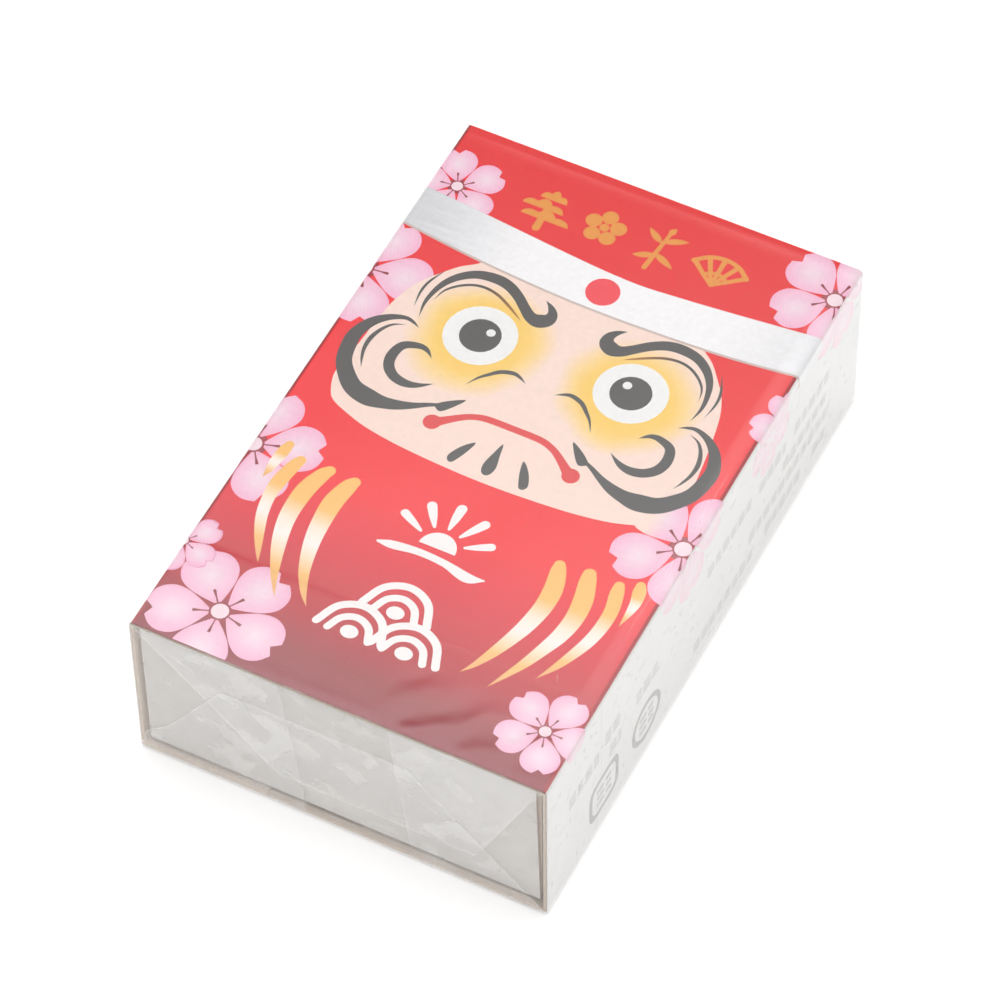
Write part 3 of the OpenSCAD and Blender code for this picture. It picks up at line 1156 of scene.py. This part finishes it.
# ---------- the sleeve ----------
def sleeve():
    """The printed board, folded round the tray and glued: its bottom panel covers the glue flap."""
    tube = Tube(sleeve_low, sleeve_high, SLEEVE_CREASE, left_lift=BOARD)
    y_low, y_high = sleeve_low[1], sleeve_high[1]
    edge_setback = 0.05
    u_high = tube.stations(1)[3] + tube.half + sleeve_high[0] - edge_setback
    u_low = -(tube.stations(-1)[3] + FLAP_WIDTH - tube.radius + BOARD)
    fold = tube.half + tube.arc / 2
    outline = [(u_low, y_low), (u_high, y_low), (u_high, y_high), (u_low, y_high)]
    ground = [(-fold, y_low), (fold, y_low), (fold, y_high), (-fold, y_high)]
    areas = [("red_ground", [ground], None)]
    # A darker red strip inside each fold of the top: painted shade where the bend mirrors less light.
    for left, right in ((-fold, -fold + 0.35), (fold - 0.35, fold)):
        areas.append(("red_fold", [[(left, y_low), (right, y_low), (right, y_high), (left, y_high)]], None))
    areas += top_picture()
    areas.append(("red_edge",
        [[(-fold, y_low), (fold, y_low), (fold, y_low + 0.14), (-fold, y_low + 0.14)]], None))
    areas += right_panel(tube) + left_panel(tube) + bottom_panel(tube)
    creases = [((u, y_low), (u, y_high)) for u in tube.creases(u_low, u_high)]
    sheet = Sheet(outline, "white_panel", areas, creases, fill=3.0)
    # Flowers past the folds take their paler, painted-light copies.
    middles = sheet.flat[sheet.triangles].mean(1)[:, 0]
    for i in np.where(abs(middles) > fold)[0]:
        kind = sheet.kinds[sheet.kind_of[i]]
        if kind in PAINTED_LIGHT_SIDE_INKS:
            if PAINTED_LIGHT_SIDE_INKS[kind] not in sheet.kinds:
                sheet.kinds.append(PAINTED_LIGHT_SIDE_INKS[kind])
            sheet.kind_of[i] = sheet.kinds.index(PAINTED_LIGHT_SIDE_INKS[kind])

    def place(u, v, depth):
        x, z, nx, nz = tube.at(u, depth)
        return Vector((x, v, z)), Vector((nx, 0, nz))

    piece = folded("sleeve_board", sheet, place, BOARD, "board_edge", "board_inside")
    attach(piece, "sleeve")
    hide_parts("sleeve")


# ---------- the tray ----------
def arc_points(cx, cz, radius, start, end, steps=ARC_STEPS):
    """Points along an arc, between two angles in degrees."""
    return [
        (cx + radius * math.cos(math.radians(start + (end - start) * k / steps)),
         cz + radius * math.sin(math.radians(start + (end - start) * k / steps)))
        for k in range(steps + 1)
    ]


def bent_board(bm, outer, inner, from_third, to_third, axes, rows=1):
    """Adds a strip of board whose cross-section lies between two lines with as many points each.
    axes says which coordinates the line's two numbers and the strip's length are."""
    profile = [*outer, *inner[::-1]]
    rings = []
    for k in range(rows + 1):
        third = from_third + (to_third - from_third) * k / rows
        ring = []
        for a, b in profile:
            point = [0, 0, 0]
            point[axes[0]], point[axes[1]], point[axes[2]] = a, b, third
            ring.append(bm.verts.new([c * MM for c in point]))
        rings.append(ring)
    count, half = len(profile), len(outer)
    for near, far in zip(rings, rings[1:]):
        for k in range(count):
            other = (k + 1) % count
            face = bm.faces.new((near[k], near[other], far[other], far[k]))
            face.material_index = 1 if k in (half - 1, count - 1) else 0
    for ring, turn in ((rings[0], -1), (rings[-1], 1)):
        for k in range(half - 1):
            face = bm.faces.new((ring[k], ring[k + 1], ring[count - 2 - k], ring[count - 1 - k])[::turn])
            face.material_index = 1


def tray():
    """The board tray: a base with two sides, and at each end a strip folded over the corner tabs."""
    bm = bmesh.new()
    half_x, half_y = tray_high[0], tray_high[1]
    floor_z, rim_z = tray_low[2], tray_high[2]
    r, t = TRAY_CREASE, BOARD
    corner = [(half_x, rim_z)] + arc_points(half_x - r, floor_z + r, r, 0, -90)
    inside_corner = [(half_x - t, rim_z)] + arc_points(half_x - r, floor_z + r, r - t, 0, -90)
    outer = corner + [(-x, z) for x, z in corner[::-1]]
    inner = inside_corner + [(-x, z) for x, z in inside_corner[::-1]]
    bent_board(bm, outer, inner, -half_y + r, half_y - r, (0, 2, 1))
    end_gap = 0.02
    lean = 0.4
    for sign in (-1, 1):
        for side in (-1, 1):
            start, end = sorted((sign * (half_y - r), sign * (half_y - t - end_gap)))
            wall_outer = [(side * half_x, rim_z), (side * half_x, floor_z + r)]
            wall_inner = [(side * (half_x - t), rim_z), (side * (half_x - t), floor_z + r)]
            bent_board(bm, wall_outer, wall_inner, start, end, (0, 2, 1))
        roll = arc_points(half_y - t, rim_z - t, t, 0, 180)
        roll_inside = arc_points(half_y - t, rim_z - t, end_gap / 2, 0, 180)
        heel = arc_points(half_y - r, floor_z + r, r, -90, 0)
        heel_inside = arc_points(half_y - r, floor_z + r, r - t, -90, 0)
        foot = half_y - 2 * t
        line = [*heel, *roll, (foot, floor_z + t + end_gap)]
        back = [*heel_inside, *roll_inside, (foot + t - end_gap, floor_z + t + end_gap)]
        strip = [(sign * y, z) for y, z in line]
        strip_back = [(sign * y, z) for y, z in back]
        first = len(bm.verts)
        bent_board(bm, strip, strip_back, -half_x + 0.02, half_x - 0.02, (1, 2, 0))
        bm.verts.ensure_lookup_table()
        for vert in bm.verts[first:]:
            in_front = abs(vert.co.y) > (half_y - t) * MM - 1e-7
            height = (vert.co.z / MM - floor_z) / (rim_z - floor_z)
            short = (lean * height if vert.co.x * -sign > 0 else 0.0) if in_front else t
            vert.co.x -= math.copysign(short * MM, vert.co.x)
    bmesh.ops.recalc_face_normals(bm, faces=bm.faces)
    mesh = bpy.data.meshes.new("tray_board")
    bm.to_mesh(mesh)
    bm.free()
    for kind in ("board", "board_edge"):
        mesh.materials.append(material_named(kind))
    piece = bpy.data.objects.new("tray_board", mesh)
    bpy.context.scene.collection.objects.link(piece)
    softened(piece)
    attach(piece, "tray")
    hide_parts("tray")


# ---------- the film ----------
def soft_noise(a, b, seed):
    """A smooth value from -1 to 1 that wanders over a few units."""
    total = 0.0
    for k in range(4):
        turn = seed * 1.7 + k * 2.4
        size = 0.55 + 0.35 * k
        total += math.sin(size * (a * math.cos(turn) + b * math.sin(turn)) + seed * (k + 1))
    return total / 4


def smooth_step(value, low, high):
    """0 below low, 1 above high and a smooth change between them."""
    t = min(1.0, max(0.0, (value - low) / (high - low)))
    return t * t * (3 - 2 * t)


class Wrap:
    """One part of the overwrap: a film tube with a lap seam under the box and an envelope fold at one
    end. sign is -1 for the near end and 1 for the far end."""

    LAP = 4.0

    def __init__(self, sign, tear, flaps):
        self.sign, self.tear, self.flaps = sign, tear, flaps
        self.tube = Tube(film_low, film_high, FILM_CREASE)
        self.bend = film_high[1] - FILM_CREASE
        self.right_stop = self.tube.half + self.tube.arc / 2
        self.left_stop = self.tube.stations(1)[2] + self.tube.arc / 2
        self.u_low = -(self.tube.stations(-1)[3] + self.LAP)
        self.u_high = self.tube.stations(1)[3] + 2 * self.tube.half

    def panel(self, u):
        """The name of the panel at u."""
        if abs(u) <= self.right_stop:
            return "top"
        if abs(u) <= self.left_stop:
            return "right" if u > 0 else "left"
        return "bottom"

    LAYER = {"bottom": 0, "top": 1, "right": 2, "left": 2}
    INWARD = {"top": (0, -1), "bottom": (0, 1), "right": (-1, 0), "left": (1, 0)}

    def bend_length(self, panel):
        return math.pi / 2 * (FILM_CREASE - self.LAYER[panel] * FILM_LAYER)

    def flat_point(self, panel, across, reach):
        """The flat place of a point on a flap, from its place along the fold and its reach from it."""
        tube = self.tube
        if panel == "top":
            u = across
        elif panel == "bottom":
            u = tube.stations(1)[3] + tube.half - across
        else:
            u = (1 if panel == "right" else -1) * (tube.half + tube.arc + tube.top - tube.radius - across)
        radius = FILM_CREASE - self.LAYER[panel] * FILM_LAYER
        return u, self.sign * (self.bend + max(0.0, reach - radius + self.bend_length(panel)))

    def outline(self):
        """The flat film's edge: round the tube's end with its four flaps, and back along the tear."""
        start = self.sign * self.bend
        order = ("left", "top", "right", "bottom")
        roots = {
            "left": (-self.left_stop, -self.right_stop), "top": (-self.right_stop, self.right_stop),
            "right": (self.right_stop, self.left_stop), "bottom": (self.left_stop, self.u_high),
        }
        points = [(self.u_low, self.tear), (self.u_low, start), (-self.left_stop - 0.3, start)]
        for panel in order:
            low, high = roots[panel]
            points += [(low + 0.01, start), *self.by_walk(panel), (high - 0.01, start)]
        points += [(self.u_high, start), (self.u_high, self.tear)]
        clean = [p for k, p in enumerate(points) if math.dist(p, points[k - 1]) > 1e-4]
        return clean

    def by_walk(self, panel):
        """A flap's points in the order in which the outline passes them, from low u to high u."""
        points = [self.flat_point(panel, *p) for p in self.flaps[panel]]
        return points if points[0][0] < points[-1][0] else points[::-1]

    def ripple(self, x, y, z):
        """How far the film dips inward from its outermost place, on the tube."""
        return 0.03 + 0.028 * soft_noise(x * 0.16 + z * 0.2, y * 0.1, 3.0)

    def dent(self, x, z):
        """How far the folded end is pressed in, in its middle."""
        mid = (film_low[2] + film_high[2]) / 2
        rim = min(film_high[0] - abs(x), film_high[2] / 2 - abs(z - mid))
        return smooth_step(rim, 0.3, 4.0) * (0.12 + 0.09 * soft_noise(x * 0.3, z * 0.35, 5.0 + self.sign))

    def point(self, u, v, depth):
        x, z, nx, nz = self.tube.at(u, 0.0)
        past = self.sign * v - self.bend
        out = Vector((nx, 0, nz))
        if past <= 0:
            lap = 0.05 * smooth_step(-u, self.tube.stations(-1)[3], self.tube.stations(-1)[3] + 1.5)
            ease = smooth_step(-past, 0.0, 2.0)
            return Vector((x, v, z)) - out * (depth + lap + ease * self.ripple(x, v, z))
        panel = self.panel(u)
        radius = FILM_CREASE - self.LAYER[panel] * FILM_LAYER
        dx, dz = self.INWARD[panel]
        length = math.pi / 2 * radius
        angle = min(past / radius, math.pi / 2)
        inward = radius * (1 - math.cos(angle)) + max(0.0, past - length)
        reach = self.bend + radius * math.sin(angle)
        out = out * math.cos(angle) + Vector((0, self.sign, 0)) * math.sin(angle)
        x, z = x + dx * inward, z + dz * inward
        pressed = self.dent(x, z) if past > length else 0.0
        return Vector((x, self.sign * reach, z)) - out * (depth + pressed)

    def place(self, u, v, depth):
        """A point of the film and the way out there, from the slope on each side of it."""
        step = 0.05
        du = self.point(min(u + step, self.u_high), v, 0) - self.point(max(u - step, self.u_low), v, 0)
        dv = self.point(u, v + step, 0) - self.point(u, v - step, 0)
        out = du.cross(dv)
        return self.point(u, v, depth), out.normalized() if out.length > 1e-9 else Vector((0, self.sign, 0))

    def make(self, name, body, marks):
        outline = self.outline()
        if self.sign * (self.bend - self.sign * self.tear) > 0:
            outline = outline[::-1]
        y_pair = sorted((self.tear, self.sign * self.bend))
        creases = [((u, y_pair[0]), (u, y_pair[1])) for u in self.tube.creases(self.u_low, self.u_high)]
        for k in range(ARC_STEPS + 1):
            y = self.sign * (self.bend + math.pi / 2 * FILM_CREASE * k / ARC_STEPS)
            creases.append(((-self.left_stop, y), (self.u_high, y)))
        sheet = Sheet(outline, "film", marks(self), creases, fill=1.2)
        piece = folded(name, sheet, self.place, FILM, "film_cut", "film")
        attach(piece, body)
        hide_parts(body)
        return piece


NEAR_FLAPS = {
    "top": [(-22.9, 0), (-6.9, 16.0), (14.9, 16.0), (15.8, 14.3), (21.9, 1.15), (22.9, 0)],
    "bottom": [(22.9, 0), (22.0, 1.3), (7.6, 15.3), (-12.8, 15.5), (-19.4, 5.6), (-22.0, 3.3), (-22.9, 0)],
    "left": [(0.1, 0), (0.4, 19.0), (4.9, 18.7), (20.5, 16.8), (20.9, 0)],
    "right": [(20.9, 0), (20.5, 17.4), (4.9, 15.6), (0.4, 15.2), (0.1, 0)],
}
FAR_FLAPS = {
    "top": [(-22.9, 0), (-7.1, 15.8), (6.8, 16.1), (22.9, 0)],
    "bottom": [(22.9, 0), (7.3, 15.6), (-7.0, 15.9), (-22.9, 0)],
    "left": [(0.1, 0), (0.4, 16.2), (20.6, 15.9), (20.9, 0)],
    "right": [(20.9, 0), (20.6, 16.3), (0.4, 15.8), (0.1, 0)],
}


# Where a lifted flap makes the end look paler, as (x, z) on the near (-1) and far (1) end
LAPS = {
    -1: [[(6.4, 15.9), (14.3, 8.2), (15.6, 6.6), (22.5, 20.7), (9.0, 20.7)]],
    1: [[(-8.0, 14.6), (-15.5, 7.0), (-22.4, 20.6), (-10.0, 20.7)]],
}


def film_areas(wrap):
    """Where each part of the film differs: its sides, its long edges, the folded end and the hazy lines
    along the flaps' own edges."""
    tube, start = wrap.tube, wrap.sign * wrap.bend

    def strip(kind, u_from, u_to, v_from=wrap.tear, v_to=start):
        return (kind, [[(u_from, v_from), (u_to, v_from), (u_to, v_to), (u_from, v_to)]], None)

    flaps = [p for panel in ("left", "top", "right", "bottom") for p in wrap.by_walk(panel)]
    tip = wrap.sign * max(abs(p[1]) for p in flaps)
    marks = [strip("film_end", wrap.u_low, wrap.u_high, start, tip)]
    for sign in (1, -1):
        a, b, c, _ = (sign * u for u in tube.stations(sign))
        marks.append(strip("film_side", b, c))
        for bend in (a, c) if sign < 0 else (c,):
            marks.append(strip("film_edge", bend + 0.12 * sign, bend + 0.34 * sign))
    marks.append(strip("film_edge", wrap.u_low, wrap.u_high, start + 0.12 * wrap.sign,
        start + 0.3 * wrap.sign))

    def patch(kind, panel, corners):
        return (kind, [[wrap.flat_point(panel, *corner) for corner in corners]], None)

    top = film_high[2]
    # Pale warm haze along the roots of the left and bottom flaps: folded film's haze, and painted light that
    # lifts the shaded gaps round the tray.
    marks.append(patch("film_fold", "left", [(0.6, 0.4), (top - 0.5, 0.4), (top - 0.5, 1.5), (0.6, 1.5)]))
    marks.append(patch("film_fold", "bottom", [(-22.3, 0.6), (22.3, 0.6), (22.3, 2.0), (-22.3, 2.0)]))
    marks += [patch("film_lap", "top", [(x, top - z) for x, z in loop]) for loop in LAPS[wrap.sign]]
    if wrap.sign > 0:
        marks.append(("film_crease", [[(17.5, -23.5), (17.62, -23.5), (18.1, -24.5), (18.0, -24.5)]], None))
        marks.append(("film_glint",
            [[(21.4, -22.0), (21.75, -8.0), (22.0, 6.0), (21.85, 6.0), (21.55, -8.0)]], None))
    for panel, width in (("left", 0.08), ("right", 0.1), ("top", 0.15), ("bottom", 0.15)):
        walk = wrap.by_walk(panel)
        for a, b in zip(walk, walk[1:]):
            along = Vector((b[0] - a[0], b[1] - a[1]))
            if along.length < 2:
                continue
            for side in (width, -width):
                off = Vector((-along.y, along.x)).normalized() * side
                marks.append(("film_crease",
                    [[a, b, (b[0] + off.x, b[1] + off.y), (a[0] + off.x, a[1] + off.y)]], None))
    return marks


def film():
    """Both parts of the overwrap, which meet at the tear."""
    Wrap(-1, tear_y - 0.01, NEAR_FLAPS).make("film_near_end", "film_cap", film_areas)
    Wrap(1, tear_y + 0.01, FAR_FLAPS).make("film_far_end", "film_wrap", film_areas)


# ---------- the sweets ----------
class SoftBlock:
    """A block with round edges whose faces are pressed in by depth_at(point) millimetres."""

    def __init__(self, low, high, radius, depth_at):
        self.low, self.high, self.radius, self.depth_at = low, high, radius, depth_at

    def skin(self, q, sink=0.0):
        """The surface point that belongs to a point on the block's box, sunk deeper by sink."""
        inner = [min(max(c, a + self.radius), b - self.radius) for c, a, b in zip(q, self.low, self.high)]
        out = (Vector(q) - Vector(inner)).normalized()
        surface = Vector(inner) + out * self.radius
        return surface - out * (self.depth_at(surface) + sink)

    def lattice(self, axis, spacing):
        """Places along an axis: close together round the edges and even between them."""
        low, high, radius = self.low[axis], self.high[axis], self.radius
        flat = high - low - 2 * radius
        count = max(2, round(flat / spacing))
        steps = (0.0, 0.35, 0.7)
        return (
            [low + radius * s for s in steps] + [low + radius + flat * k / count for k in range(count + 1)]
            + [high - radius * s for s in steps[::-1]]
        )

    def add_to(self, points, faces, spacing, sink=0.0):
        """Adds the block's closed surface, inside out where it is sunk."""
        axes = [self.lattice(axis, spacing) for axis in range(3)]
        index = {}

        def corner(key):
            if key not in index:
                index[key] = len(points)
                points.append(self.skin([axes[k][key[k]] for k in range(3)], sink))
            return index[key]

        for axis in range(3):
            b, c = (axis + 1) % 3, (axis + 2) % 3
            last = len(axes[axis]) - 1
            for end in (0, last):
                outward = (end == last) != (sink > 0)
                for i in range(len(axes[b]) - 1):
                    for j in range(len(axes[c]) - 1):
                        face = []
                        for di, dj in ((0, 0), (1, 0), (1, 1), (0, 1)):
                            key = [0, 0, 0]
                            key[axis], key[b], key[c] = end, i + di, j + dj
                            face.append(corner(tuple(key)))
                        faces.append(face if outward else face[::-1])

    def add_patch(self, points, faces, outline, to_box, lift, thickness):
        """Adds a thin closed layer that follows the block's surface: to_box turns a flat point of its
        outline into one on the block's box."""
        sheet = Sheet(outline, "", fill=1.2)
        count, first = len(sheet.flat), len(points)
        for sink in (-lift - thickness, -lift):
            points += [self.skin(to_box(u, v), sink) for u, v in sheet.flat]
        a, b, c = (points[first + k] for k in sheet.triangles[0])
        middle = (Vector(self.low) + Vector(self.high)) / 2
        turn = 1 if (b - a).cross(c - a).dot(a - middle) > 0 else -1
        for tri in sheet.triangles:
            corners = [first + int(k) for k in tri[::turn]]
            faces += [corners, [k + count for k in corners[::-1]]]
        for a, b in sheet.boundary():
            faces.append([first + k for k in (b, a, a + count, b + count)][::turn])


def softened(piece):
    """Smooth shading that keeps the sharp edges."""
    piece.data.polygons.foreach_set("use_smooth", [True] * len(piece.data.polygons))
    piece.data.set_sharp_from_angle(angle=math.radians(38))


def wrapper(name, number):
    """A waxed wrapper: one layer round the caramel, lapped on top and folded like an envelope at its ends."""
    low, high = box_mm(name)
    end_room, top_room = 0.17, 0.09

    def crinkle(p):
        q = Vector(p) * 0.3 + Vector((number * 7.3, 0, 0))
        ridge = 1 - abs(perlin.noise(q * 2.6))
        return 0.07 + 0.06 * perlin.noise(q) + 0.07 * ridge ** 5

    body_low = (low[0] + end_room, low[1], low[2])
    body_high = (high[0] - end_room, high[1], high[2] - top_room)
    body = SoftBlock(body_low, body_high, 0.8, crinkle)
    points, faces = [], []
    body.add_to(points, faces, 0.8)
    body.add_to(points, faces, 0.8, sink=0.08)
    single = len(faces)
    mid_y = (low[1] + high[1]) / 2
    lean = 0.25 * math.sin(number * 2.1)
    seam = [(body_low[0] + 0.5, mid_y + 1.6 + lean), (body_high[0] - 0.5, mid_y + 1.6 - lean),
            (body_high[0] - 0.5, mid_y - 1.3), (body_low[0] + 0.5, mid_y - 1.3)]
    body.add_patch(points, faces, seam, lambda u, v: (u, v, body_high[2]), 0.02, 0.05)
    inset, fold = 0.3, 5.3 + 0.2 * math.sin(number * 1.3)
    y_low, y_high = body_low[1] + inset, body_high[1] - inset
    z_low, z_high = body_low[2] + inset, body_high[2] - inset
    tucks = [
        [(y, z_low + 0.4), (y, z_high - 0.4), (y + way * fold, z_high - 1.2), (y + way * fold, z_low + 1.2)]
        for y, way in ((y_low, 1), (y_high, -1))
    ]
    flaps = [
        [(y_low, z), (y_high, z), (y_high - fold, z + way * fold * 0.96), (y_low + fold, z + way * fold)]
        for z, way in ((z_high, -1), (z_low, 1))
    ]
    for x in (body_low[0], body_high[0]):
        for outline, lift in ((tucks[0], 0.005), (tucks[1], 0.03), (flaps[0], 0.07), (flaps[1], 0.115)):
            body.add_patch(points, faces, outline, lambda u, v: (x, u, v), lift, 0.02
                if lift < 0.05 else 0.035)
    kind_of = [0] * single + [1] * (len(faces) - single)
    return make_mesh("wrap_" + name.split("_")[1], points, faces, ["wrapper", "wrapper_lap"], kind_of)


def caramel(name, number):
    """A caramel with soft edges, slightly sunk faces and the fine lines that its cutter left."""
    low, high = box_mm(name)
    slack = 0.22

    def dents(p):
        q = Vector(p) * 0.22 + Vector((0, number * 5.1, 0))
        return 0.05 + 0.05 * perlin.noise(q) + 0.015 * math.sin(p[0] * 5.0)

    block = SoftBlock([c + slack for c in low], [c - slack for c in high], 1.1, dents)
    points, faces = [], []
    block.add_to(points, faces, 0.6)
    return make_mesh("sweet_" + name.split("_")[1], points, faces, ["caramel"], [0] * len(faces))


def sweets():
    """Every wrapper and caramel of the CAD model, each in its own place."""
    for kind, make, slot in (("wrapper", wrapper, "wrapper_film"), ("caramel", caramel, "caramel")):
        for name in sorted(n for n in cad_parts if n.startswith(kind + "_")):
            piece = make(name, int(name.split("_")[1]))
            softened(piece)
            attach(piece, "tray")
            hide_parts(name)


# ---------- floor, light and camera ----------
def floor():
    """A white table that glows a little, so that the box's contact shadow stays faint."""
    bpy.ops.mesh.primitive_plane_add(size=12, location=(0, 0, cad_box[0].z - 0.00002))
    plane = bpy.context.active_object
    plane.name = "floor"
    material, _, shader = principled(
        "floor", Roughness=0.9, Specular_IOR_Level=0.0, Emission_Strength=0.26,
    )
    shader.inputs["Base Color"].default_value = (0.95, 0.95, 0.95, 1)
    shader.inputs["Emission Color"].default_value = (1, 1, 1, 1)
    plane.data.materials.append(material)


def studio():
    """White surroundings with one large soft light overhead, which the top's film mirrors."""
    world = bpy.data.worlds.new("studio")
    world.use_nodes = True
    tree = world.node_tree
    background = tree.nodes["Background"]
    background.inputs["Color"].default_value = (1, 1, 1, 1)
    overhead = Vector((-0.05, 0.15, 1)).normalized()
    direction = add(tree, "TexCoord").outputs["Generated"]
    facing = add(tree, "VectorMath", {"operation": "DOT_PRODUCT"}, i0=direction,
        i1=overhead).outputs["Value"]
    edge, core = math.cos(math.radians(33.5)), math.cos(math.radians(22))
    glow = between(tree, facing, edge, core, 0.58, 2.6, smooth=True)
    tree.links.new(glow, background.inputs["Strength"])
    scene = bpy.context.scene
    scene.world = world
    scene.view_settings.view_transform = "Standard"
    scene.cycles.transparent_max_bounces = 32


def camera():
    """The photograph's view: a long lens, turned very slightly about its own axis."""
    azimuth, elevation, roll = (math.radians(a) for a in (27.633, 52.269, 0.941))
    aim, distance = Vector((-0.00087, 0.00032, 0.01049)), 0.53332
    back = Vector((
        math.sin(azimuth) * math.cos(elevation), -math.cos(azimuth) * math.cos(elevation),
        math.sin(elevation),
    ))
    data = bpy.data.cameras.new("camera")
    data.sensor_width = 36
    data.lens = 188.03
    data.clip_start, data.clip_end = 0.01, 20
    view = bpy.data.objects.new("camera", data)
    turn = (-back).to_track_quat("-Z", "Y").to_matrix().to_4x4() @ Matrix.Rotation(-roll, 4, "Z")
    view.matrix_world = Matrix.Translation(aim + back * distance) @ turn
    bpy.context.scene.collection.objects.link(view)
    bpy.context.scene.camera = view


camera()
sleeve()
tray()
sweets()
film()
floor()
studio()
